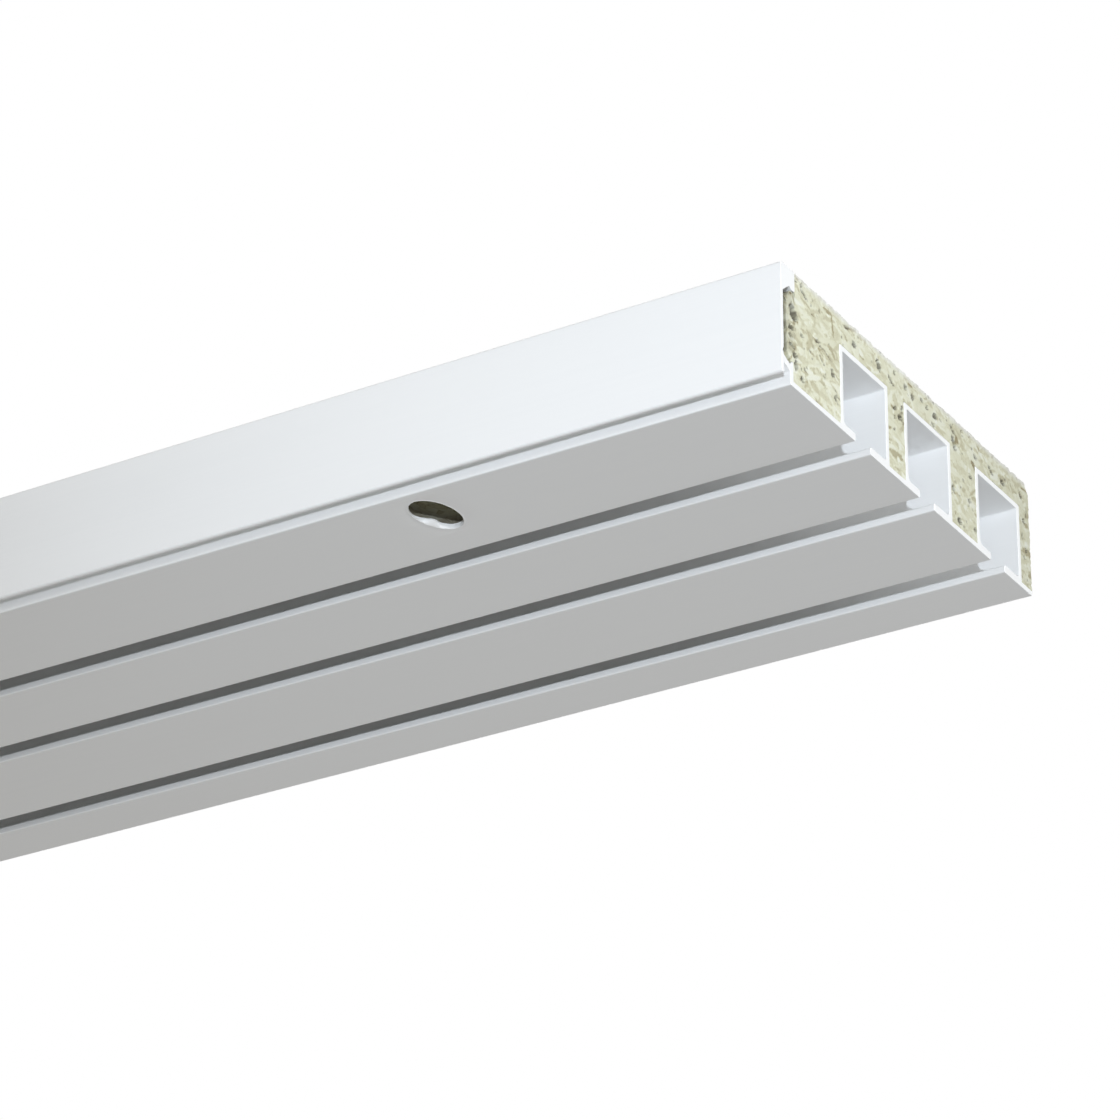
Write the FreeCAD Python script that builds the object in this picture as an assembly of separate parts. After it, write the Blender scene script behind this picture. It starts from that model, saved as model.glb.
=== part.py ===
import FreeCAD, Part
import math
import os

# Ceiling curtain track with three runs, sawn square from stock.
# Millimetres. X runs along the track, Y from the room-side front to the back,
# Z up to the ceiling. The origin is in the middle of the track, on its underside.
# Sections are drawn with y counted from the front face and z from the underside.

# Stock length and the board that stiffens the track
track_length = 1200.0
board_thickness = 21.0

# Walls of the plastic profile
skin = 1.0                   # underside plate and channel linings
front_skin = 0.7             # tall plate that shows to the room
ledge_skin = 1.3             # web between the front plate and the underside

# Runs for the curtain rollers, counted from the front
channel_width = 14.9         # clear width inside the lining
channel_height = 13.7        # clear height above the lips
near_lip = 4.0               # lip on the room side of each slot
slot_width = 5.1
lip_thickness = 1.5          # the lips are thicker than the plate beside them
lip_round = 0.5              # upper edges of the lips
channel_foot_round = 0.9     # between the lips and the linings
front_web = 17.1             # from the groove's wall to the first channel
webs_between = [5.9, 9.5]    # board between neighbouring linings
back_web = 4.0               # board behind the last channel

# Groove in the bottom front edge, open downwards, for a fascia strip
groove_width = 2.1
groove_depth = 3.3           # at the front plate
groove_roof_fall = 0.9       # the roof drops towards the wall
front_lift = 0.5             # the front plate ends this far above the underside
barb_rise = 0.8              # tip of the wall above the ledge
barb_tip = 0.4               # width of that tip
relief_depth = 0.3           # thinned stretch of the front plate above the ledge
relief_height = 1.4

# Hook at the top of the front plate
hook_reach = 4.7             # from the front face
hook_depth_front = 5.3       # below the top of the board
hook_depth_back = 3.9
hook_arch = 0.4              # rise of the hook's underside above its back tip
hook_tip = 0.9               # width of that tip

# Room between the board and the plastic
board_play = 0.05
board_setback = 1.0          # from the front plate to the board's sawn front
hook_room = 1.4              # hollow under the hook
toe_bevel = 1.3              # bevel at the board's lower front edge
back_ease_height = 2.0       # eased top back edge of the board
back_ease_depth = 1.6

# Edges of the plastic
outer_round = 0.3
crest_round = 0.7            # top front edge
inner_round = 0.3

# Screw holes in the web before the first channel
screw_hole_count = 4
screw_end_distance = 73.5    # from each sawn end to the nearest hole
screw_from_groove = 8.2      # from the groove's wall
recess_along = 7.8           # oval mouth for the screw's head
recess_across = 10.8
recess_depth = 12.0
shank_bore = 5.0

# Derived levels and places
track_height = skin + board_thickness
front_inner = front_skin
groove_wall = front_inner + groove_width
wall_inner = groove_wall + skin
channel_ceiling = lip_thickness + channel_height
lining_top = channel_ceiling + skin
ledge_front = groove_depth + ledge_skin
ledge_back = ledge_front - groove_roof_fall
barb_top = ledge_back + barb_rise
board_front = front_inner + board_setback
screw_line = groove_wall + screw_from_groove

channel_starts = [wall_inner + front_web]
for web in webs_between:
    channel_starts.append(channel_starts[-1] + channel_width + 2 * skin + web)
track_width = channel_starts[-1] + channel_width + skin + back_web


def rounded_wire(corners):
    """Closed wire in the YZ plane through (y, z, radius) corners, with tangent arcs."""
    stretches = []
    for index, (y, z, radius) in enumerate(corners):
        here = FreeCAD.Vector(0, y, z)
        before = FreeCAD.Vector(0, *corners[index - 1][:2])
        after = FreeCAD.Vector(0, *corners[(index + 1) % len(corners)][:2])
        to_before = (before - here).normalize()
        to_after = (after - here).normalize()
        if radius <= 0:
            stretches.append((here, None, here))
            continue
        half_angle = to_before.getAngle(to_after) / 2
        run_out = radius / math.tan(half_angle)
        to_centre = (to_before + to_after).normalize()
        middle = here + to_centre * (radius / math.sin(half_angle) - radius)
        stretches.append((here + to_before * run_out, middle, here + to_after * run_out))
    edges = []
    for index, (start, middle, end) in enumerate(stretches):
        if middle is not None:
            edges.append(Part.Arc(start, middle, end).toShape())
        next_start = stretches[(index + 1) % len(stretches)][0]
        edges.append(Part.LineSegment(end, next_start).toShape())
    return Part.Wire(edges)


def extruded(corners):
    """Solid of one section over the whole length, centred on the origin."""
    face = Part.Face(rounded_wire(corners))
    solid = face.extrude(FreeCAD.Vector(track_length, 0, 0))
    solid.translate(FreeCAD.Vector(-track_length / 2, -track_width / 2, 0))
    return solid


def front_corners():
    """Front plate with its hook and the fascia groove, from the wall's foot up and over."""
    hook_low = track_height - hook_depth_back
    relief_inner = front_inner - relief_depth
    return [
        (groove_wall, 0, outer_round),
        (groove_wall, groove_depth - groove_roof_fall, inner_round),
        (front_inner, groove_depth, inner_round),
        (front_inner, front_lift, 0),
        (0, front_lift, outer_round),
        (0, track_height, crest_round),
        (hook_reach, track_height, outer_round),
        (hook_reach, hook_low, outer_round),
        (hook_reach - hook_tip, hook_low, outer_round),
        (hook_reach - 2 * hook_tip, hook_low + hook_arch, 0),
        (front_inner, track_height - hook_depth_front, inner_round),
        (front_inner, ledge_front + relief_height, 0),
        (relief_inner, ledge_front + relief_height / 2, 0),
        (front_inner, ledge_front, 0),
        (groove_wall, ledge_back, 0),
        (wall_inner - barb_tip, barb_top, 0),
        (wall_inner, barb_top, 0),
        (wall_inner, skin, 0),
    ]


def lining_outside(start):
    """Lining seen from the board, from its near foot on the plate over the top to the far foot."""
    near = start - skin
    far = start + channel_width + skin
    return [
        (near, skin, 0),
        (near, lining_top, outer_round),
        (far, lining_top, outer_round),
        (far, skin, 0),
    ]


def channel_inside(start):
    """Channel and its slot seen from the run, from the far lip round to the near lip."""
    far = start + channel_width
    slot_near = start + near_lip
    slot_far = slot_near + slot_width
    return [
        (slot_far, 0, outer_round),
        (slot_far, lip_thickness, lip_round),
        (far, lip_thickness, channel_foot_round),
        (far, channel_ceiling, inner_round),
        (start, channel_ceiling, inner_round),
        (start, lip_thickness, channel_foot_round),
        (slot_near, lip_thickness, lip_round),
        (slot_near, 0, outer_round),
    ]


def profile_corners():
    """One round trip of the plastic section: front, top side, back edge, underside."""
    corners = front_corners()
    for start in channel_starts:
        corners += lining_outside(start)
    corners += [(track_width, skin, outer_round), (track_width, 0, outer_round)]
    for start in reversed(channel_starts):
        corners += channel_inside(start)
    return corners


def board_corners():
    """Board section, pressed over the linings and under the hook."""
    toe_level = barb_top + board_play
    hook_side = hook_reach + board_play
    shelf_back = track_height - hook_depth_back - hook_room
    shelf_front = track_height - hook_depth_front - hook_room
    corners = [
        (board_front + toe_bevel, toe_level, 0),
        (board_front, toe_level + toe_bevel, 0),
        (board_front, shelf_front, 0),
        (hook_side, shelf_back, 0),
        (hook_side, track_height, 0),
        (track_width - back_ease_depth, track_height, 0),
        (track_width, track_height - back_ease_height, 0),
        (track_width, skin, 0),
    ]
    for start in reversed(channel_starts):
        near = start - skin - board_play
        far = start + channel_width + skin + board_play
        top = lining_top + board_play
        corners += [(far, skin, 0), (far, top, 0), (near, top, 0), (near, skin, 0)]
    corners += [(wall_inner + board_play, skin, 0), (wall_inner + board_play, toe_level, 0)]
    return corners


def screw_places():
    """Centres of the screw holes along the front web."""
    pitch = (track_length - 2 * screw_end_distance) / (screw_hole_count - 1)
    first = -track_length / 2 + screw_end_distance
    across = screw_line - track_width / 2
    return [FreeCAD.Vector(first + pitch * index, across, 0) for index in range(screw_hole_count)]


def head_recess(place):
    """Oval recess for a screw's head, open downwards."""
    reaches = [FreeCAD.Vector(recess_along / 2, 0, 0), FreeCAD.Vector(0, recess_across / 2, 0)]
    short_reach, long_reach = sorted(reaches, key=lambda reach: reach.Length)
    oval = Part.Ellipse(place + long_reach, place + short_reach, place)
    mouth = Part.Wire(oval.toShape())
    return Part.Face(mouth).extrude(FreeCAD.Vector(0, 0, recess_depth))


def shank_hole(place):
    """Round bore for a screw's shank, up to the ceiling."""
    return Part.makeCylinder(shank_bore / 2, track_height, place)


def write(name, solid):
    clean = solid.removeSplitter()
    print(name, "solids", len(clean.Solids), "valid", clean.isValid(), "volume", round(clean.Volume))
    clean.Solids[0].exportStep("parts/" + name + ".step")


os.makedirs("parts", exist_ok=True)

places = screw_places()
recesses = [head_recess(place) for place in places]
shanks = [shank_hole(place) for place in places]

# Plastic profile, one extrusion
track_profile = extruded(profile_corners()).cut(recesses)
write("track_profile", track_profile)

# Chipboard core, one milled board
chipboard_core = extruded(board_corners()).cut(recesses + shanks)
write("chipboard_core", chipboard_core)

print("width", round(track_width, 2), "height", track_height, "channels", channel_starts)
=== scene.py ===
import math
import random

import bmesh
import bpy
import numpy as np
from mathutils import Matrix, Vector, noise
from mathutils.geometry import delaunay_2d_cdt


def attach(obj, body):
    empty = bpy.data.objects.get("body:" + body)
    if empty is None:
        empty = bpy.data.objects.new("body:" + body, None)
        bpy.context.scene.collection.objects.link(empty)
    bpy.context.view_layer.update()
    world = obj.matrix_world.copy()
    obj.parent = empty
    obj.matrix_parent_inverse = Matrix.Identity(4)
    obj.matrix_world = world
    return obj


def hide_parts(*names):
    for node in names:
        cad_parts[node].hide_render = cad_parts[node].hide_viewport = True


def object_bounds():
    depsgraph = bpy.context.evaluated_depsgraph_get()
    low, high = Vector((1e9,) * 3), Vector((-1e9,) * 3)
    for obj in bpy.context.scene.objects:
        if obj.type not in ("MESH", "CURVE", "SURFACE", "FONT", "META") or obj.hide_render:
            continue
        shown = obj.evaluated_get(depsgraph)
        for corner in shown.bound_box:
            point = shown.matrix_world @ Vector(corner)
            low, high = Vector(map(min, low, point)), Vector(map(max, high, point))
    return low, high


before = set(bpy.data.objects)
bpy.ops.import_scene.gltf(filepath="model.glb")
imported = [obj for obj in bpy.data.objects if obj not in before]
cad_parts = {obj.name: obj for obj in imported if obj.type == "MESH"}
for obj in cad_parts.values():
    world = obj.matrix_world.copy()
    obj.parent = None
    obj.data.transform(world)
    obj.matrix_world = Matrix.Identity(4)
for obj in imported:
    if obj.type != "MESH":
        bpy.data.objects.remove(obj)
cad_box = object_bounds()

# Ceiling curtain track with three runs: a white plastic profile pressed over a milled chipboard.
# The section is drawn in millimetres, with y counted from the front face and z from the underside.
mm = 0.001
low_corner, high_corner = cad_box
track_length = (high_corner.x - low_corner.x) / mm
track_width = (high_corner.y - low_corner.y) / mm
track_height = (high_corner.z - low_corner.z) / mm

# Walls of the plastic profile
skin = 1.0
front_skin = 0.7
ledge_skin = 1.3

# Runs for the curtain rollers
channel_width = 14.9
channel_height = 13.7
near_lip = 4.0
slot_width = 5.1
lip_thickness = 1.5
lip_round = 0.5
channel_foot_round = 0.9
front_web = 17.1
webs_between = [5.9, 9.5]

# Groove for a fascia strip
groove_width = 2.1
groove_depth = 3.3
groove_roof_fall = 0.9
front_lift = 1.2             # higher than in the solid, as the photograph shows it
front_foot_round = 0.5       # lower edge of the front plate, outside
foot_inner_round = 0.15      # and inside
barb_rise = 0.8
barb_tip = 0.4
relief_depth = 0.3
relief_height = 1.4

# Hook at the top of the front plate
hook_reach = 4.7
hook_depth_front = 5.3
hook_depth_back = 3.9
hook_arch = 0.4
hook_tip = 0.9

# Room between the board and the plastic
board_play = 0.05
board_setback = 1.0
hook_room = 1.4
toe_bevel = 1.3
back_ease_height = 2.0
back_ease_depth = 1.6

# Edges of the plastic
outer_round = 0.3
crest_round = 0.7
inner_round = 0.3

# Screw holes
screw_hole_count = 4
screw_end_distance = 73.5
screw_from_groove = 8.2
recess_depth = 12.0
shank_bore = 5.0

# Derived places of the section
groove_wall = front_skin + groove_width
wall_inner = groove_wall + skin
channel_ceiling = lip_thickness + channel_height
lining_top = channel_ceiling + skin
ledge_front = groove_depth + ledge_skin
ledge_back = ledge_front - groove_roof_fall
barb_top = ledge_back + barb_rise
board_front = front_skin + board_setback
screw_line = groove_wall + screw_from_groove
channel_starts = [wall_inner + front_web]
for web in webs_between:
    channel_starts.append(channel_starts[-1] + channel_width + 2 * skin + web)


# Sections

def rounded_outline(corners, spacing, arc_steps):
    """Points (y, z) round a section, with tangent arcs at its rounded corners."""
    stretches = []
    for index, (y, z, radius) in enumerate(corners):
        here = Vector((y, z))
        to_before = (Vector(corners[index - 1][:2]) - here).normalized()
        to_after = (Vector(corners[(index + 1) % len(corners)][:2]) - here).normalized()
        if radius <= 0:
            stretches.append([here])
            continue
        half_angle = to_before.angle(to_after) / 2
        run_out = radius / math.tan(half_angle)
        centre = here + (to_before + to_after).normalized() * (radius / math.sin(half_angle))
        start = here + to_before * run_out - centre
        end = here + to_after * run_out - centre
        turn = start.angle_signed(end)
        arc = []
        for step in range(arc_steps + 1):
            arc.append(centre + Matrix.Rotation(-turn * step / arc_steps, 2) @ start)
        stretches.append(arc)
    points = []
    for index, stretch in enumerate(stretches):
        points += stretch
        end = stretch[-1]
        start = stretches[(index + 1) % len(stretches)][0]
        pieces = max(1, round((start - end).length / spacing))
        for piece in range(1, pieces):
            points.append(end.lerp(start, piece / pieces))
    return points


def front_corners():
    """Front plate with its hook and the fascia groove, from the wall's foot up and over."""
    hook_low = track_height - hook_depth_back
    return [
        (groove_wall, 0, outer_round),
        (groove_wall, groove_depth - groove_roof_fall, inner_round),
        (front_skin, groove_depth, inner_round),
        (front_skin, front_lift, foot_inner_round),
        (0, front_lift, front_foot_round),
        (0, track_height, crest_round),
        (hook_reach, track_height, outer_round),
        (hook_reach, hook_low, outer_round),
        (hook_reach - hook_tip, hook_low, outer_round),
        (hook_reach - 2 * hook_tip, hook_low + hook_arch, 0),
        (front_skin, track_height - hook_depth_front, inner_round),
        (front_skin, ledge_front + relief_height, 0),
        (front_skin - relief_depth, ledge_front + relief_height / 2, 0),
        (front_skin, ledge_front, 0),
        (groove_wall, ledge_back, 0),
        (wall_inner - barb_tip, barb_top, 0),
        (wall_inner, barb_top, 0),
        (wall_inner, skin, 0),
    ]


def lining_outside(start):
    """Lining seen from the board, from the near foot over the top to the far foot."""
    near = start - skin
    far = start + channel_width + skin
    return [
        (near, skin, 0),
        (near, lining_top, outer_round),
        (far, lining_top, outer_round),
        (far, skin, 0),
    ]


def channel_inside(start):
    """Channel and its slot seen from the run, from the far lip round to the near lip."""
    far = start + channel_width
    slot_near = start + near_lip
    slot_far = slot_near + slot_width
    return [
        (slot_far, 0, outer_round),
        (slot_far, lip_thickness, lip_round),
        (far, lip_thickness, channel_foot_round),
        (far, channel_ceiling, inner_round),
        (start, channel_ceiling, inner_round),
        (start, lip_thickness, channel_foot_round),
        (slot_near, lip_thickness, lip_round),
        (slot_near, 0, outer_round),
    ]


def profile_corners():
    """One round trip of the plastic section: front, top side, back edge, underside."""
    corners = front_corners()
    for start in channel_starts:
        corners += lining_outside(start)
    corners += [(track_width, skin, outer_round), (track_width, 0, outer_round)]
    for start in reversed(channel_starts):
        corners += channel_inside(start)
    return corners


def board_corners():
    """Board section, pressed over the linings and under the hook."""
    toe_level = barb_top + board_play
    hook_side = hook_reach + board_play
    shelf_back = track_height - hook_depth_back - hook_room
    shelf_front = track_height - hook_depth_front - hook_room
    corners = [
        (board_front + toe_bevel, toe_level, 0),
        (board_front, toe_level + toe_bevel, 0),
        (board_front, shelf_front, 0),
        (hook_side, shelf_back, 0),
        (hook_side, track_height, 0),
        (track_width - back_ease_depth, track_height, 0),
        (track_width, track_height - back_ease_height, 0),
        (track_width, skin, 0),
    ]
    for start in reversed(channel_starts):
        near = start - skin - board_play
        far = start + channel_width + skin + board_play
        top = lining_top + board_play
        corners += [(far, skin, 0), (far, top, 0), (near, top, 0), (near, skin, 0)]
    corners += [(wall_inner + board_play, skin, 0), (wall_inner + board_play, toe_level, 0)]
    return corners


def place(x, y, z):
    """Row frame, in metres, of a point of the section at x millimetres from the middle."""
    return Vector((x, y - track_width / 2, z)) * mm


def screw_centres():
    """Distances of the screw holes from the middle of the track, in millimetres."""
    pitch = (track_length - 2 * screw_end_distance) / (screw_hole_count - 1)
    first = -track_length / 2 + screw_end_distance
    return [first + pitch * index for index in range(screw_hole_count)]


# Long sweeps with windows for the screw holes

window_reach = 8.0           # along the track, from a hole's middle
window_low = 4.2             # across the underside, from the front face
window_high = 19.2
top_window_low = 6.5         # across the board's top
top_window_high = 15.5
hole_steps = 96
level_tolerance = 1e-4
merge_distance = 1e-6


def inward_normals(outline):
    """Unit vectors into the material at each point of a clockwise outline."""
    normals = []
    for index, point in enumerate(outline):
        along = (point - outline[index - 1]).normalized()
        along += (outline[(index + 1) % len(outline)] - point).normalized()
        along.normalize()
        normals.append(Vector((along.y, -along.x)))
    return normals


def make_ring(bm, x, outline):
    return [bm.verts.new(place(x, point.x, point.y)) for point in outline]


def span_of(outline, level, low, high):
    """Run of outline points that lie on one level between two y values."""
    run = []
    for index, point in enumerate(outline):
        if abs(point.y - level) < level_tolerance and low <= point.x <= high:
            run.append(index)
    return run[0], run[-1]


def join_rings(bm, before, after, windows=()):
    """Quads between two rings, apart from the windows' runs of points."""
    count = len(before)
    for index in range(count):
        if any(low <= index < high for low, high in windows):
            continue
        following = (index + 1) % count
        bm.faces.new((before[index], before[following], after[following], after[index]))


def loop_edges(bm, loop):
    edges = []
    for index, vert in enumerate(loop):
        pair = (vert, loop[(index + 1) % len(loop)])
        edges.append(bm.edges.get(pair) or bm.edges.new(pair))
    return edges


def fill_window(bm, before, after, run, hole):
    """Flat face between two rings with a hole in it."""
    low, high = run
    rim = before[low:high + 1] + list(reversed(after[low:high + 1]))
    edges = loop_edges(bm, rim) + loop_edges(bm, hole)
    bmesh.ops.triangle_fill(bm, use_beauty=True, edges=edges)


def join_loops(bm, loops):
    for before, after in zip(loops, loops[1:]):
        join_rings(bm, before, after)


def cap(bm, verts, points, rim_count):
    """Flat triangles over the points, inside the rim that the first of them make."""
    rim = list(range(rim_count))
    flat = delaunay_2d_cdt(points, [], [rim], 1, merge_distance)
    for face in flat[2]:
        bm.faces.new([verts[flat[3][corner][0]] for corner in face])


def finish_mesh(bm, name, material, sharp_degrees):
    """Object of the mesh, smooth over its arcs and crisp at its edges."""
    bmesh.ops.recalc_face_normals(bm, faces=bm.faces)
    mesh = bpy.data.meshes.new(name)
    bm.to_mesh(mesh)
    bm.free()
    for polygon in mesh.polygons:
        polygon.use_smooth = True
    mesh.set_sharp_from_angle(angle=math.radians(sharp_degrees))
    piece = bpy.data.objects.new(name, mesh)
    bpy.context.scene.collection.objects.link(piece)
    mesh.materials.append(material)
    return piece


# Plastic profile

profile_spacing = 1.5
profile_arc_steps = 5
profile_crease = 35          # degrees
edge_break = 0.08            # left by the saw along its cut
saw_wander = 0.05
saw_grain = 1.3
saw_seed = 5

# Mouth of a screw hole, a leaning oval pressed in a little, with a torn edge
mouth_along = 3.6
mouth_across = 5.8
mouth_shift = 0.3            # towards the back
mouth_lean = -9.0            # degrees
hole_dent_width = 0.9        # outer edge of the pressed ring, from the mouth
hole_dent_floor = 0.5        # its deepest line
hole_dent = 0.12             # its depth
hole_crest = 0.14            # inner edge, nearly level again
burr_grain = 6
flap_angle = 156.0           # degrees round the mouth to the flap that the drill left
flap_reach = 1.3
flap_spread = 19.0
bite_angle = 190.0           # and to the bite that it took beside the flap
bite_reach = 0.6
bite_spread = 26.0

# Loops from the mouth's dent up the plate: growth, level, roughness, shares of flap and bite
mouth_steps = [
    (hole_dent_width, 0, 0, 0, 0),
    (hole_dent_floor, hole_dent, 0, 0, 0),
    (hole_crest, 0.01, 0.02, 0, 0),
    (0.03, 0.05, 0.05, 0.1, 0.1),
    (0.0, 0.3, 0.08, 0.5, 0.7),
    (0.02, 0.7, 0.1, 1.0, 1.0),
    (0.02, skin, 0.06, 0.8, 1.0),
]


def swell(angle, middle, spread):
    """One at a place round the hole, fading to zero on both sides."""
    return math.exp(-((math.degrees(angle) - middle) / spread) ** 2)


def oval_loop(bm, centre, seed, grow, level, roughness, flap, bite):
    """Loop round a screw hole, grown outwards, with a torn edge where roughness is above zero."""
    loop = []
    for step in range(hole_steps):
        angle = 2 * math.pi * step / hole_steps
        round_mouth = Vector((math.cos(angle) * burr_grain, math.sin(angle) * burr_grain, seed))
        torn = noise.noise(round_mouth)
        reach = grow + roughness * torn
        reach -= flap * flap_reach * swell(angle, flap_angle, flap_spread)
        reach += bite * bite_reach * swell(angle, bite_angle, bite_spread)
        straight = Vector((mouth_along + reach, 0)) * math.cos(angle)
        straight += Vector((0, mouth_across + reach)) * math.sin(angle)
        leaning = Matrix.Rotation(math.radians(mouth_lean), 2) @ straight
        y = screw_line + mouth_shift + leaning.y
        loop.append(bm.verts.new(place(centre + leaning.x, y, level)))
    return loop


def sawn_profile_end(bm, side, outline, normals):
    """Two rings at a sawn end, with the saw's slightly broken edge, and the cap."""
    end = side * track_length / 2
    shoulder = make_ring(bm, end - side * edge_break, outline)
    rim_points = []
    rim = []
    for point, normal in zip(outline, normals):
        inner = point + normal * edge_break
        on_cut = Vector((inner.x * saw_grain, inner.y * saw_grain, side * saw_seed))
        wander = saw_wander * abs(noise.noise(on_cut))
        rim_points.append(inner)
        rim.append(bm.verts.new(place(end - side * wander, inner.x, inner.y)))
    cap(bm, rim, rim_points, len(rim))
    return shoulder, rim


def make_profile(material):
    """White profile: front plate with hook and groove, underside with lips, three linings."""
    bm = bmesh.new()
    outline = rounded_outline(profile_corners(), profile_spacing, profile_arc_steps)
    normals = inward_normals(outline)
    under = span_of(outline, 0, window_low, window_high)
    inner = span_of(outline, skin, window_low, window_high)
    left_shoulder, left_rim = sawn_profile_end(bm, -1, outline, normals)
    right_shoulder, right_rim = sawn_profile_end(bm, 1, outline, normals)
    join_rings(bm, left_rim, left_shoulder)
    previous = left_shoulder
    for seed, centre in enumerate(screw_centres()):
        before = make_ring(bm, centre - window_reach, outline)
        after = make_ring(bm, centre + window_reach, outline)
        join_rings(bm, previous, before)
        join_rings(bm, before, after, [under, inner])
        loops = [oval_loop(bm, centre, seed, *step) for step in mouth_steps]
        join_loops(bm, loops)
        fill_window(bm, before, after, under, loops[0])
        fill_window(bm, before, after, inner, loops[-1])
        previous = after
    join_rings(bm, previous, right_shoulder)
    join_rings(bm, right_shoulder, right_rim)
    piece = finish_mesh(bm, "white_profile", material, profile_crease)
    weighted = piece.modifiers.new("even_flats", "WEIGHTED_NORMAL")
    weighted.keep_sharp = True
    return piece


# Chipboard

chip_raster = 0.1
raster_margin = 1.001        # cells, so that a sample always has its neighbours

# Chips on a sawn end. Tones go from 0, dark, to 1, pale.
chip_count = 5200
chip_length_spread = (1.2, 0.45)
chip_length_most = 9.0
chip_thickness_range = (0.45, 1.5)
chip_slope_spread = 24       # degrees
stray_chip_share = 0.16      # chips that lie at any slope
chip_tone_spread = (3.6, 2.0)
chip_drop_most = 0.12
chip_point = 2.2             # above 2, so that a chip is blunter than an ellipse
fibre_tone = 0.02
fibre_pitch = 0.22
fibre_lean = 0.7
fibre_shift = 40             # keeps the fibres of neighbouring chips apart
rim_width = 0.3
rim_tone = 0.22
rim_drop = 0.1
face_layer = 3.6             # finer chips near the board's two faces
finest_share = 0.45
glue_tone = 0.4              # between the chips
glue_drop = 0.2

# Voids between the chips. Painted shade goes from 0, none, to 1, black.
small_void_count = 150
small_void_lengths = (0.25, 0.9)
small_void_thicknesses = (0.15, 0.4)
small_void_slope_spread = 35
small_void_depths = (0.1, 0.5)
# the most painted shade inside a void
void_painted_shade = 0.82
void_raggedness = 0.35
void_ripple = (5, 6)         # along and through a void
void_ripple_shift = (9, 7)   # keeps neighbouring voids apart
void_edge = (2.5, 0.5)       # slope and start of the painted shade at a void's rim
void_wall = (1.6, -0.2)      # and of its depth
back_painted_shade = 0.2              # painted shade that grows towards the back of the end

# Points of the end's mesh
cap_spacing = 0.26
cap_jitter = 0.3
cap_clearance = 0.45
cap_seed = 11


def cells_near(raster, y, z, reach_y, reach_z, angle):
    """Window of a raster round a point, and distances in it along and through a slope."""
    rows, columns = raster.shape
    left = max(0, int((y - reach_y) / chip_raster))
    right = min(columns, int((y + reach_y) / chip_raster) + 2)
    bottom = max(0, int((z - reach_z) / chip_raster))
    top = min(rows, int((z + reach_z) / chip_raster) + 2)
    across = np.arange(left, right) * chip_raster - y
    up = (np.arange(bottom, top) * chip_raster - z)[:, None]
    along = across * math.cos(angle) + up * math.sin(angle)
    through = -across * math.sin(angle) + up * math.cos(angle)
    return (slice(bottom, top), slice(left, right)), along, through


def draw_chip(tone, relief, y, z, length, thickness, angle, shade, height):
    """Lays one flat chip over the rasters of a sawn face, with blunt ends and a dark rim."""
    reach_y = abs(math.cos(angle)) * length / 2 + abs(math.sin(angle)) * thickness / 2
    reach_z = abs(math.sin(angle)) * length / 2 + abs(math.cos(angle)) * thickness / 2
    window, along, through = cells_near(tone, y, z, reach_y, reach_z, angle)
    bulge = 1 - np.abs(along / (length / 2)) ** chip_point - np.abs(through / (thickness / 2)) ** 2
    inside = bulge > 0
    wave = through * 2 * math.pi / fibre_pitch + along * fibre_lean + shade * fibre_shift
    fibre = fibre_tone * np.sin(wave)
    rim = np.clip(bulge / rim_width, 0, 1)
    tone[window][inside] = (shade + fibre - rim_tone * (1 - rim) ** 2)[inside]
    relief[window][inside] = (height - rim_drop * (1 - rim))[inside]


def sink_void(painted_shade, relief, y, z, length, thickness, angle, depth):
    """Opens a void between chips, darkened with painted shade out to its rim and sunk inside."""
    reach = max(length, thickness)
    window, along, through = cells_near(painted_shade, y, z, reach, reach, angle)
    ripple = np.sin(along * void_ripple[0] + y * void_ripple_shift[0])
    cross_ripple = np.cos(through * void_ripple[1] + z * void_ripple_shift[1])
    ragged = void_raggedness * ripple * cross_ripple
    fill = 1 + ragged - (along / (length / 2)) ** 2 - (through / (thickness / 2)) ** 2
    darkness = np.clip(fill * void_edge[0] + void_edge[1], 0, void_painted_shade)
    painted_shade[window] = np.maximum(painted_shade[window], darkness)
    relief[window] -= depth * np.clip(fill * void_wall[0] + void_wall[1], 0, 1)


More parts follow.
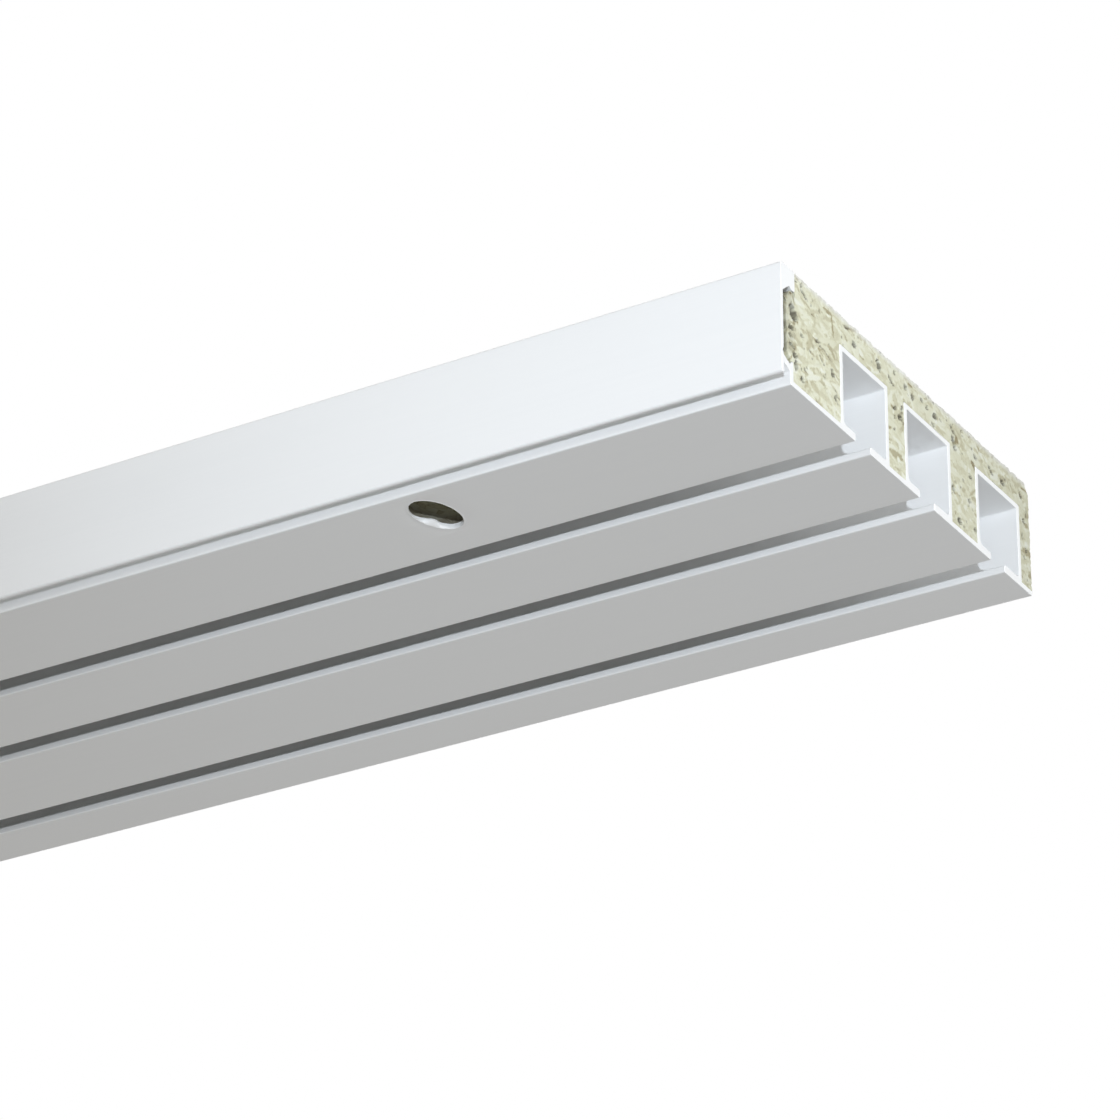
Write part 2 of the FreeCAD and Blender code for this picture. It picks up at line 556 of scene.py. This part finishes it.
# Larger voids of the sawn end: y, z, length, thickness, slope in degrees, depth
end_voids = [
    (4.3, 13.7, 3.0, 2.2, 20, 2.2),
    (3.4, 11.0, 1.9, 0.9, 10, 1.2),
    (3.1, 9.4, 1.4, 0.7, 0, 0.9),
    (7.0, 11.2, 0.9, 0.7, 30, 0.9),
    (3.7, 7.7, 2.4, 0.7, -5, 1.0),
    (4.5, 6.3, 2.0, 0.9, 15, 1.1),
    (4.9, 4.6, 1.9, 1.2, 75, 1.6),
    (7.0, 2.9, 1.3, 1.1, 40, 1.4),
    (17.4, 9.3, 1.6, 1.0, -50, 1.0),
    (7.1, 20.7, 1.4, 0.7, 50, 0.7),
    (7.9, 19.4, 2.2, 0.7, -25, 0.9),
    (15.6, 11.8, 2.6, 0.4, -25, 0.5),
    (13.8, 9.9, 2.4, 0.5, -35, 0.6),
    (12.3, 12.8, 2.0, 0.5, 20, 0.5),
    (22.6, 20.6, 1.9, 0.6, 10, 0.7),
    (8.0, 5.2, 0.8, 0.6, 0, 0.6),
    (18.4, 5.0, 1.2, 0.8, 70, 1.0),
    (25.2, 18.6, 1.4, 1.2, 30, 1.3),
    (33.8, 18.9, 2.1, 1.4, -60, 1.6),
    (39.7, 20.3, 1.0, 0.8, 0, 1.0),
    (38.3, 18.1, 2.6, 0.8, -30, 0.9),
    (43.5, 19.4, 1.2, 1.0, 20, 1.2),
    (46.1, 18.7, 1.5, 1.0, 50, 1.0),
    (49.5, 19.8, 1.0, 0.7, 0, 0.8),
    (51.5, 19.2, 1.2, 0.8, 10, 0.8),
    (41.3, 12.4, 1.8, 1.1, 10, 1.4),
    (39.4, 11.7, 1.0, 0.6, 0, 0.7),
    (42.0, 14.3, 2.0, 0.7, 80, 0.8),
    (39.6, 13.4, 1.2, 0.7, 30, 0.7),
    (54.4, 19.0, 2.1, 1.1, 20, 1.1),
    (53.6, 17.0, 1.5, 0.7, 0, 0.7),
    (61.1, 19.4, 2.6, 0.8, -30, 0.9),
    (61.3, 17.0, 2.9, 1.5, -75, 1.8),
    (60.6, 7.8, 1.9, 1.1, -80, 1.2),
    (67.3, 13.2, 1.3, 0.9, 0, 1.0),
    (62.6, 2.4, 1.8, 1.2, 10, 1.4),
    (66.5, 8.1, 1.3, 0.8, 20, 0.8),
    (68.5, 3.3, 1.1, 0.9, 0, 1.0),
    (75.3, 18.3, 2.2, 0.8, -30, 0.9),
    (69.3, 18.0, 1.6, 0.8, 0, 0.8),
    (79.9, 18.0, 1.9, 1.0, 0, 0.9),
    (87.0, 18.6, 1.3, 0.8, -40, 0.7),
    (88.0, 14.0, 1.2, 1.0, 0, 1.0),
    (88.4, 8.3, 1.3, 0.9, 60, 1.0),
    (87.7, 6.6, 1.0, 0.7, 0, 0.8),
    (87.2, 10.7, 1.3, 0.7, 80, 0.8),
]


def chip_pattern(seed, voids):
    """Tone, painted shade and relief of chips over a sawn end of the board."""
    random_source = random.Random(seed)
    rows = int(track_height / chip_raster) + 2
    columns = int(track_width / chip_raster) + 2
    tone = np.full((rows, columns), glue_tone)
    # painted shade, darker towards the back of the sawn end
    painted_shade = np.tile(back_painted_shade * np.linspace(0, 1, columns) ** 2, (rows, 1))
    relief = np.full((rows, columns), -glue_drop)
    for _ in range(chip_count):
        y = random_source.uniform(0, track_width)
        z = random_source.uniform(skin, track_height)
        from_face = min(z - skin, track_height - z)
        coarse = min(1.0, finest_share + (1 - finest_share) * from_face / face_layer)
        drawn_length = random_source.lognormvariate(*chip_length_spread)
        length = coarse * min(chip_length_most, drawn_length)
        thickness = coarse * random_source.uniform(*chip_thickness_range)
        angle = math.radians(random_source.gauss(0, chip_slope_spread))
        if random_source.random() < stray_chip_share:
            angle = random_source.uniform(0, math.pi)
        shade = random_source.betavariate(*chip_tone_spread)
        height = -random_source.uniform(0, chip_drop_most)
        draw_chip(tone, relief, y, z, length, thickness, angle, shade, height)
    for _ in range(small_void_count):
        y = random_source.uniform(0, track_width)
        z = random_source.uniform(skin, track_height)
        length = random_source.uniform(*small_void_lengths)
        thickness = random_source.uniform(*small_void_thicknesses)
        angle = math.radians(random_source.gauss(0, small_void_slope_spread))
        depth = random_source.uniform(*small_void_depths)
        sink_void(painted_shade, relief, y, z, length, thickness, angle, depth)
    for y, z, length, thickness, slope, depth in voids:
        sink_void(painted_shade, relief, y, z, length, thickness, math.radians(slope), depth)
    return tone, painted_shade, relief


def sample(raster, y, z):
    """Value of a raster at a point of the section, blended between its cells."""
    rows, columns = raster.shape
    column = min(max(y / chip_raster, 0), columns - raster_margin)
    row = min(max(z / chip_raster, 0), rows - raster_margin)
    i, j = int(row), int(column)
    u, v = row - i, column - j
    lower = raster[i, j] * (1 - v) + raster[i, j + 1] * v
    upper = raster[i + 1, j] * (1 - v) + raster[i + 1, j + 1] * v
    return float(lower * (1 - u) + upper * u)


def cap_points(corners, rng):
    """Scattered points inside the board's section, clear of its outline."""
    outline = np.array([corner[:2] for corner in corners])
    following = np.roll(outline, -1, axis=0)
    ys = np.arange(0, track_width, cap_spacing)
    zs = np.arange(0, track_height, cap_spacing)
    grid = np.stack(np.meshgrid(ys, zs), -1).reshape(-1, 2)
    grid += rng.uniform(-cap_jitter, cap_jitter, grid.shape) * cap_spacing
    inside = np.zeros(len(grid), bool)
    clearance = np.full(len(grid), np.inf)
    for start, end in zip(outline, following):
        crosses = (start[1] > grid[:, 1]) != (end[1] > grid[:, 1])
        if start[1] != end[1]:
            share = (grid[:, 1] - start[1]) / (end[1] - start[1])
            inside ^= crosses & (grid[:, 0] < start[0] + share * (end[0] - start[0]))
        along = end - start
        share = np.clip(((grid - start) @ along) / (along @ along), 0, 1)
        nearest = start + share[:, None] * along
        clearance = np.minimum(clearance, np.linalg.norm(grid - nearest, axis=1))
    return grid[inside & (clearance > cap_spacing * cap_clearance)]


board_spacing = 0.4
board_arc_steps = 1          # the board's corners have no rounds
board_crease = 50            # degrees
near_end_insets = [0.9, 1.4, 2.0, 2.8, 4.0, 6.0, 10.0]
rim_void_depth = 0.7         # the most that a void sinks the outline of a sawn end
left_end_seed = 5
right_end_seed = 8

# Edges torn by the saw. A tear is the grain along and across the edge, then the noise's layer,
# falloff and step.
end_wear_length = 6.0
front_wear = 0.45
front_wear_depth = 3.0
front_wear_share = 0.35      # of it along the whole front edge, and the rest near the ends
front_wear_start = -0.15
top_wear = 0.55
top_wear_depth = 1.4
top_wear_start = 0.05
front_tear = (0.35, 0.55, 3.0, 0.6, 2.1)
top_tear = (0.5, 0.45, 9.0, 0.7, 2.2)
tear_octaves = 4

# Painted shade on the board's front edge in the seam behind the front plate and on the shelf under the
# hook; loose board fills the room under the hook
front_edge_painted_shade = 0.75
front_patch_painted_shade = 0.9
front_patch_grain = 0.8
front_patch_seed = 4.0
end_rim_painted_shade = 0.25
shelf_painted_shade = 0.95
shelf_margin = 0.1
shelf_end = 4                # below the top of the board
hollow_depth = 0.8           # behind it, loose board fills the room under the hook
hollow_back = 2.2            # and so it does from here to the hook's tip
hollow_slope = 0.5
hollow_fill = 1.7
hollow_root = 3.0            # height over which the board's surface stretches up to the fill

# Screw holes in the board, with painted shade from the mouth up
drill_levels = [skin, 1.8, 2.5, 4.0, 6.0, 8.0, 10.0, recess_depth]
# painted shade in the hole, darkest at the mouth and none in the shank
hole_painted_shade = [0.85, 0.8, 0.6, 0.2, 0.0]
drill_play = 0.05
drill_roughness = 0.3
drill_seed = 20
shank_inset = 3
shank_levels = [recess_depth, recess_depth + shank_inset, track_height - shank_inset, track_height]
shank_roughness = 0.1
shank_grain = 3


def tear_noise(x, across, side, tear):
    """How far the saw tore an edge at one place, with its own pattern at each end."""
    grain_along, grain_across, layer, falloff, step = tear
    where = Vector((x * grain_along, across * grain_across, layer * side))
    return noise.fractal(where, falloff, step, tear_octaves)


def worn(x, y, z):
    """Point of the board after the saw tore chips from its front and top edges near the ends."""
    from_end = track_length / 2 - abs(x)
    side = 1 if x > 0 else -1
    closeness = max(0.0, 1 - from_end / end_wear_length)
    front_share = max(0.0, 1 - (y - board_front) / front_wear_depth)
    torn = tear_noise(x, z, side, front_tear)
    wear = front_wear_share + (1 - front_wear_share) * closeness
    moved_y = y + front_share * front_wear * wear * max(0.0, torn - front_wear_start)
    top_share = max(0.0, 1 - (track_height - z) / top_wear_depth)
    nibbled = tear_noise(x, y, side, top_tear)
    moved_z = z - top_share * top_wear * closeness * max(0.0, nibbled - top_wear_start)
    if y < hook_reach:
        fill = min(1.0, max(0.0, from_end / hollow_depth, (y - hollow_back) / hollow_slope))
        fill *= min(1.0, (hook_reach - y) / hook_tip)
        above_root = z - (track_height - hook_depth_front - hook_room - hollow_root)
        moved_z += hollow_fill * fill * min(1.0, max(0.0, above_root / hollow_root))
    return x, moved_y, moved_z


def painted_seam_shade(point):
    """How much painted shade darkens the board's front edge in the seam behind the front plate,
    strongest on the shelf under the hook.
    """
    if point.x > hook_reach or not barb_top + toe_bevel <= point.y <= track_height - shelf_end:
        return 0.0
    if point.y > track_height - hook_depth_front - hook_room - shelf_margin:
        return shelf_painted_shade
    on_edge = Vector((point.x * front_patch_grain, point.y * front_patch_grain, front_patch_seed))
    return min(1.0, max(0.0, front_edge_painted_shade + front_patch_painted_shade * noise.noise(on_edge)))


def board_hole(bm, centre, seed, painted_shade_layer):
    """Recess for a screw's head and the bore above it, rough, with painted shade from the mouth up."""
    loops = []
    for level in drill_levels:
        loops.append(oval_loop(bm, centre, seed + level, drill_play, level, drill_roughness, 0, 1))
    for level in shank_levels:
        ring = []
        for step in range(hole_steps):
            angle = 2 * math.pi * step / hole_steps
            along, across = math.cos(angle), math.sin(angle)
            round_bore = Vector((along * shank_grain, across * shank_grain, level))
            radius = shank_bore / 2 + shank_roughness * noise.noise(round_bore)
            x = centre + radius * along
            y = screw_line + radius * across
            ring.append(bm.verts.new(place(x, y, level)))
        loops.append(ring)
    # painted shade in the hole, darkest at the mouth
    for index, loop in enumerate(loops):
        for vert in loop:
            vert[painted_shade_layer] = hole_painted_shade[min(index, len(hole_painted_shade) - 1)]
    return loops


def make_board(material):
    """Chipboard core with torn sawn ends and rough drilled recesses."""
    bm = bmesh.new()
    tone_layer = bm.verts.layers.float.new("chip_tone")
    # painted shade of voids, the seam, the screw holes and the back of the sawn ends
    painted_shade_layer = bm.verts.layers.float.new("chip_painted_shade")
    sawn_layer = bm.verts.layers.float.new("sawn")
    outline = rounded_outline(board_corners(), board_spacing, board_arc_steps)
    under = span_of(outline, skin, window_low, window_high)
    over = span_of(outline, track_height, top_window_low, top_window_high)
    rng = np.random.default_rng(cap_seed)
    scattered = cap_points(board_corners(), rng)
    scattered = [Vector((float(y), float(z))) for y, z in scattered]

    def ring_at(x):
        ring = []
        for point in outline:
            vert = bm.verts.new(place(*worn(x, point.x, point.y)))
            # painted shade of the seam along the board's front edge and under the hook
            vert[painted_shade_layer] = painted_seam_shade(point)
            ring.append(vert)
        return ring

    def sawn_end(side, seed, voids):
        tone, painted_shade, relief = chip_pattern(seed, voids)
        points = outline + scattered
        verts = []
        for point in points:
            depth = -sample(relief, point.x, point.y)
            if len(verts) < len(outline):
                depth = min(depth, rim_void_depth)
            x = side * (track_length / 2 - max(0.0, depth))
            vert = bm.verts.new(place(*worn(x, point.x, point.y)))
            vert[tone_layer] = sample(tone, point.x, point.y)
            # painted shade of the seam, weaker on the sawn end
            rim_painted_shade = end_rim_painted_shade * painted_seam_shade(point)
            vert[painted_shade_layer] = max(sample(painted_shade, point.x, point.y), rim_painted_shade)
            vert[sawn_layer] = 1.0
            verts.append(vert)
        cap(bm, verts, points, len(outline))
        return verts[:len(outline)]

    left_rim = sawn_end(-1, left_end_seed, [])
    right_rim = sawn_end(1, right_end_seed, end_voids)
    previous = left_rim
    for inset in near_end_insets:
        ring = ring_at(-track_length / 2 + inset)
        join_rings(bm, previous, ring)
        previous = ring
    for seed, centre in enumerate(screw_centres()):
        before = ring_at(centre - window_reach)
        after = ring_at(centre + window_reach)
        join_rings(bm, previous, before)
        join_rings(bm, before, after, [under, over])
        loops = board_hole(bm, centre, seed + drill_seed, painted_shade_layer)
        join_loops(bm, loops)
        fill_window(bm, before, after, under, loops[0])
        fill_window(bm, before, after, over, loops[-1])
        previous = after
    for inset in reversed(near_end_insets):
        ring = ring_at(track_length / 2 - inset)
        join_rings(bm, previous, ring)
        previous = ring
    join_rings(bm, previous, right_rim)
    return finish_mesh(bm, "chipboard", material, board_crease)


# Materials

class Nodes:
    """Short calls for building one material's node tree."""

    def __init__(self, name):
        self.material = bpy.data.materials.new(name)
        self.material.use_nodes = True
        self.tree = self.material.node_tree
        self.shader = self.tree.nodes["Principled BSDF"]

    def add(self, kind, inputs=None, **settings):
        node = self.tree.nodes.new("ShaderNode" + kind)
        for setting, value in settings.items():
            setattr(node, setting, value)
        for socket, value in (inputs or {}).items():
            if isinstance(value, bpy.types.NodeSocket):
                self.tree.links.new(value, node.inputs[socket])
            else:
                node.inputs[socket].default_value = value
        return node

    def math(self, operation, *values):
        node = self.add("Math", operation=operation)
        for socket, value in zip(node.inputs, values):
            if isinstance(value, bpy.types.NodeSocket):
                self.tree.links.new(value, socket)
            else:
                socket.default_value = value
        return node.outputs[0]

    def stretched(self, x, y, z):
        """Object coordinates in millimetres, times a factor along each axis."""
        where = self.add("TexCoord").outputs["Object"]
        mapping = self.add("Mapping", {"Vector": where, "Scale": (x / mm, y / mm, z / mm)})
        return mapping.outputs[0]

    def noise(self, where, scale=1.0, detail=2.0, roughness=0.5):
        node = self.add("TexNoise", {"Vector": where, "Scale": scale, "Detail": detail,
                                     "Roughness": roughness})
        return node.outputs["Fac"]

    def map_range(self, value, low, high, to_low=0.0, to_high=1.0):
        node = self.add("MapRange", {0: value, 1: low, 2: high, 3: to_low, 4: to_high})
        return node.outputs[0]

    def ramp(self, factor, stops):
        node = self.add("ValToRGB", {"Fac": factor})
        elements = node.color_ramp.elements
        while len(elements) < len(stops):
            elements.new(0.5)
        for element, (position, colour) in zip(elements, stops):
            element.position = position
            element.color = (*colour, 1)
        return node.outputs["Color"]

    def mix(self, factor, first, second, blend_type="MIX"):
        node = self.add("Mix", data_type="RGBA", blend_type=blend_type)
        values = {0: factor, 6: first, 7: second}
        for socket, value in values.items():
            if isinstance(value, bpy.types.NodeSocket):
                self.tree.links.new(value, node.inputs[socket])
            elif socket == 0:
                node.inputs[socket].default_value = value
            else:
                node.inputs[socket].default_value = (*value, 1)
        return node.outputs[2]

    def feed(self, socket, value):
        self.tree.links.new(value, self.shader.inputs[socket])

    def bump(self, height, strength, distance):
        """Relief on the surface. The distance is in millimetres."""
        node = self.add("Bump", {"Height": height, "Strength": strength, "Distance": distance * mm})
        self.feed("Normal", node.outputs["Normal"])


plastic_colours = [
    (0.3, (0.855, 0.868, 0.872)),
    (0.7, (0.885, 0.895, 0.897)),
]
line_stretch = (0.004, 2.2, 2.2)
line_share = 0.35            # of the die lines in the colour, the rest being clouds
line_relief = 0.6
cloud_stretch = (0.02, 0.08, 0.08)
cloud_range = (0.3, 0.7)
gloss_range = (0.34, 0.46)   # roughness where the clouds are low and high
grain_relief = 0.25
cut_stretch = (2, 0.6, 7)
cut_relief = 8.0
cut_roughness = 0.3          # added on the sawn ends
cut_reach = 0.07             # from a sawn end, in millimetres
plastic_bump = 0.12
plastic_bump_height = 0.02   # in millimetres


def white_plastic():
    """Satin white extruded plastic: faint die lines along the track, cloudy gloss, rough sawn ends."""
    nodes = Nodes("white_plastic")
    lines = nodes.noise(nodes.stretched(*line_stretch), detail=3.0, roughness=0.6)
    clouds = nodes.noise(nodes.stretched(*cloud_stretch), detail=4.0, roughness=0.55)
    shade = nodes.math("MULTIPLY_ADD", lines, line_share, 0.0)
    shade = nodes.math("MULTIPLY_ADD", clouds, 1 - line_share, shade)
    nodes.feed("Base Color", nodes.ramp(shade, plastic_colours))
    position = nodes.add("SeparateXYZ", {0: nodes.add("TexCoord").outputs["Object"]})
    from_middle = nodes.math("ABSOLUTE", position.outputs["X"])
    sawn = nodes.math("GREATER_THAN", from_middle, (track_length / 2 - cut_reach) * mm)
    gloss = nodes.map_range(clouds, *cloud_range, *gloss_range)
    nodes.feed("Roughness", nodes.math("MULTIPLY_ADD", sawn, cut_roughness, gloss))
    grain = nodes.noise(nodes.stretched(1, 1, 1), scale=3.0, detail=2.0)
    saw_marks = nodes.noise(nodes.stretched(*cut_stretch))
    height = nodes.math("MULTIPLY_ADD", lines, line_relief, 0.0)
    height = nodes.math("MULTIPLY_ADD", grain, grain_relief, height)
    saw_height = nodes.math("MULTIPLY", saw_marks, sawn)
    height = nodes.math("MULTIPLY_ADD", saw_height, cut_relief, height)
    nodes.bump(height, plastic_bump, plastic_bump_height)
    return nodes.material


chip_colours = [
    (0.00, (0.16, 0.13, 0.07)),
    (0.14, (0.35, 0.31, 0.19)),
    (0.34, (0.54, 0.52, 0.37)),
    (0.60, (0.67, 0.67, 0.51)),
    (0.82, (0.74, 0.75, 0.61)),
    (1.00, (0.80, 0.82, 0.73)),
]
# colour of the painted shade over voids, the seam and the screw holes
painted_shade_colour = (0.085, 0.075, 0.06)
dust_colour = (0.80, 0.81, 0.82)
dust_levels = (1.3, 0.2)     # sawdust begins and is full this far below the board's top
dust_contrast = 1.4
dust_start = -0.1
fibre_stretch = (1.2, 1.2, 9)
fibre_contrast = 0.24

# The board's long faces show whole chips, as cells with dark seams
chip_stretch = (0.3, 0.42, 1.5)
chip_seam_width = 0.07
chip_seam_tone = 0.22
chip_seam_relief = -0.5
long_tone_spread = 0.6
long_tone_low = 0.28
board_roughness = 0.85
board_specular = 0.25
board_bump = 0.5
board_bump_height = 0.12     # in millimetres


def chipboard():
    """Raw chipboard: pale flat chips with tan and brown ones among them and dark gaps between, with
    painted shade over voids, the seam behind the front plate and the screw holes.
    """
    nodes = Nodes("chipboard")
    cells = {"Vector": nodes.stretched(*chip_stretch), "Scale": 1.0}
    chips = nodes.add("TexVoronoi", cells)
    chip_value = nodes.add("SeparateColor", {0: chips.outputs["Color"]}).outputs["Red"]
    edges = nodes.add("TexVoronoi", cells, feature="DISTANCE_TO_EDGE")
    fibres = nodes.noise(nodes.stretched(*fibre_stretch), detail=5.0, roughness=0.65)
    tone = nodes.add("Attribute", attribute_name="chip_tone").outputs["Fac"]
    painted_shade = nodes.add("Attribute", attribute_name="chip_painted_shade").outputs["Fac"]
    sawn = nodes.add("Attribute", attribute_name="sawn").outputs["Fac"]
    long_tone = nodes.math("MULTIPLY_ADD", chip_value, long_tone_spread, long_tone_low)
    seam = nodes.map_range(edges.outputs["Distance"], 0.0, chip_seam_width, 1.0, 0.0)
    long_tone = nodes.math("MULTIPLY_ADD", seam, -chip_seam_tone, long_tone)
    blend = nodes.add("Mix", data_type="FLOAT")
    nodes.tree.links.new(sawn, blend.inputs[0])
    nodes.tree.links.new(long_tone, blend.inputs[2])
    nodes.tree.links.new(tone, blend.inputs[3])
    grained = nodes.math("MULTIPLY_ADD", fibres, fibre_contrast, blend.outputs[0])
    grained = nodes.math("SUBTRACT", grained, fibre_contrast / 2)
    colour = nodes.ramp(grained, chip_colours)
    height_mm = nodes.add("SeparateXYZ", {0: nodes.stretched(1, 1, 1)}).outputs["Z"]
    dust_low, dust_high = (track_height - level for level in dust_levels)
    top_dust = nodes.map_range(height_mm, dust_low, dust_high)
    dust = nodes.math("MULTIPLY_ADD", fibres, dust_contrast, dust_start)
    dust = nodes.math("MULTIPLY", dust, nodes.math("MULTIPLY", top_dust, sawn))
    colour = nodes.mix(dust, colour, dust_colour)
    # painted shade laid over the chips' colour
    colour = nodes.mix(painted_shade, colour, painted_shade_colour)
    nodes.feed("Base Color", colour)
    nodes.shader.inputs["Roughness"].default_value = board_roughness
    nodes.shader.inputs["Specular IOR Level"].default_value = board_specular
    height = nodes.math("MULTIPLY_ADD", seam, chip_seam_relief, fibres)
    nodes.bump(height, board_bump, board_bump_height)
    return nodes.material


# Stage, light and camera

floor_level = -2.4
floor_size = 60.0
floor_colour = (0.80, 0.80, 0.80)
floor_glow = 0.6             # added to the eye, so that the floor looks white
white = (1, 1, 1)
ambient_light = (0.34, 0.33, 0.312)
front_place = Vector((0.1, -1.5, 0.6))
front_size = 0.9
front_power = 3.5
key_offset = Vector((0.4, -0.69, -0.19))
key_size = 0.02
key_beam = 26.0
key_power = 16.6
key_colour = (0.84, 0.91, 1.0)
side_place = Vector((2.4, -0.5, -0.1))
side_size = 0.9
side_power = 20.0
back_place = Vector((-0.9, 2.2, 0.9))
back_size = 1.5
back_power = 22.0
camera_place = Vector((0.90998, -0.61274, -0.36961))
camera_direction = Vector((-0.467101, 0.754132, 0.461629))
camera_roll = 0.5155
camera_lens = 148.91
sensor_width = 36


def seen_by_camera(nodes):
    """One where a camera, glossy or transmission ray looks, else zero."""
    rays = nodes.add("LightPath").outputs
    seen = nodes.math("MAXIMUM", rays["Is Camera Ray"], rays["Is Glossy Ray"])
    return nodes.math("MAXIMUM", seen, rays["Is Transmission Ray"])


class WorldNodes(Nodes):
    """The same short calls for the world's node tree."""

    def __init__(self, world):
        world.use_nodes = True
        self.tree = world.node_tree
        self.shader = self.tree.nodes["Background"]


def make_world():
    """White to the eye, with a softer even light on the object."""
    world = bpy.data.worlds.new("studio")
    bpy.context.scene.world = world
    nodes = WorldNodes(world)
    nodes.feed("Color", nodes.mix(seen_by_camera(nodes), ambient_light, white))


def make_floor():
    """Pale floor far below the track, white to the eye where nothing shades it."""
    nodes = Nodes("floor")
    nodes.shader.inputs["Base Color"].default_value = (*floor_colour, 1)
    nodes.shader.inputs["Roughness"].default_value = 1.0
    nodes.shader.inputs["Specular IOR Level"].default_value = 0.0
    nodes.shader.inputs["Emission Color"].default_value = (*white, 1)
    nodes.feed("Emission Strength", nodes.math("MULTIPLY", seen_by_camera(nodes), floor_glow))
    bm = bmesh.new()
    bmesh.ops.create_grid(bm, x_segments=1, y_segments=1, size=floor_size / 2)
    mesh = bpy.data.meshes.new("floor")
    bm.to_mesh(mesh)
    bm.free()
    mesh.materials.append(nodes.material)
    floor = bpy.data.objects.new("floor", mesh)
    floor.location = (0, 0, floor_level)
    bpy.context.scene.collection.objects.link(floor)


def aim_lamp(lamp, location, target, power):
    """Hangs a lamp in the studio, out of the camera's sight."""
    lamp.energy = power
    holder = bpy.data.objects.new(lamp.name, lamp)
    holder.location = location
    holder.rotation_euler = (target - location).to_track_quat("-Z", "Y").to_euler()
    holder.visible_camera = False
    bpy.context.scene.collection.objects.link(holder)


def soft_lamp(name, location, target, size, power):
    lamp = bpy.data.lights.new(name, "AREA")
    lamp.shape = "SQUARE"
    lamp.size = size
    aim_lamp(lamp, location, target, power)


def spot_lamp(name, location, target, size, beam_degrees, power, colour):
    """Small lamp whose beam fades evenly to its edge."""
    lamp = bpy.data.lights.new(name, "SPOT")
    lamp.color = colour
    lamp.shadow_soft_size = size / 2
    lamp.spot_size = math.radians(beam_degrees)
    lamp.spot_blend = 1.0
    aim_lamp(lamp, location, target, power)


def make_camera():
    lens = bpy.data.cameras.new("camera")
    lens.sensor_width = sensor_width
    lens.lens = camera_lens
    lens.clip_start = 0.01
    lens.clip_end = 200
    camera = bpy.data.objects.new("camera", lens)
    camera.location = camera_place
    backward = -camera_direction.normalized()
    level_right = Vector((0, 0, 1)).cross(backward).normalized()
    upright = Matrix((level_right, backward.cross(level_right), backward)).transposed()
    roll = Matrix.Rotation(math.radians(camera_roll), 3, backward)
    camera.rotation_mode = "QUATERNION"
    camera.rotation_quaternion = (roll @ upright).to_quaternion()
    bpy.context.scene.collection.objects.link(camera)
    bpy.context.scene.camera = camera


profile = make_profile(white_plastic())
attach(profile, "root")
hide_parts("track_profile")

board = make_board(chipboard())
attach(board, "root")
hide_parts("chipboard_core")

sawn_corner = Vector((track_length / 2 * mm, -track_width / 2 * mm, 0))
make_world()
make_floor()
middle = Vector((0, 0, track_height / 2 * mm))
soft_lamp("front", front_place, middle, front_size, front_power)
spot_lamp("key", sawn_corner + key_offset, sawn_corner, key_size, key_beam, key_power,
          key_colour)
soft_lamp("side", side_place, sawn_corner, side_size, side_power)
soft_lamp("back", back_place, middle, back_size, back_power)
make_camera()

bpy.context.scene.view_settings.view_transform = "Standard"
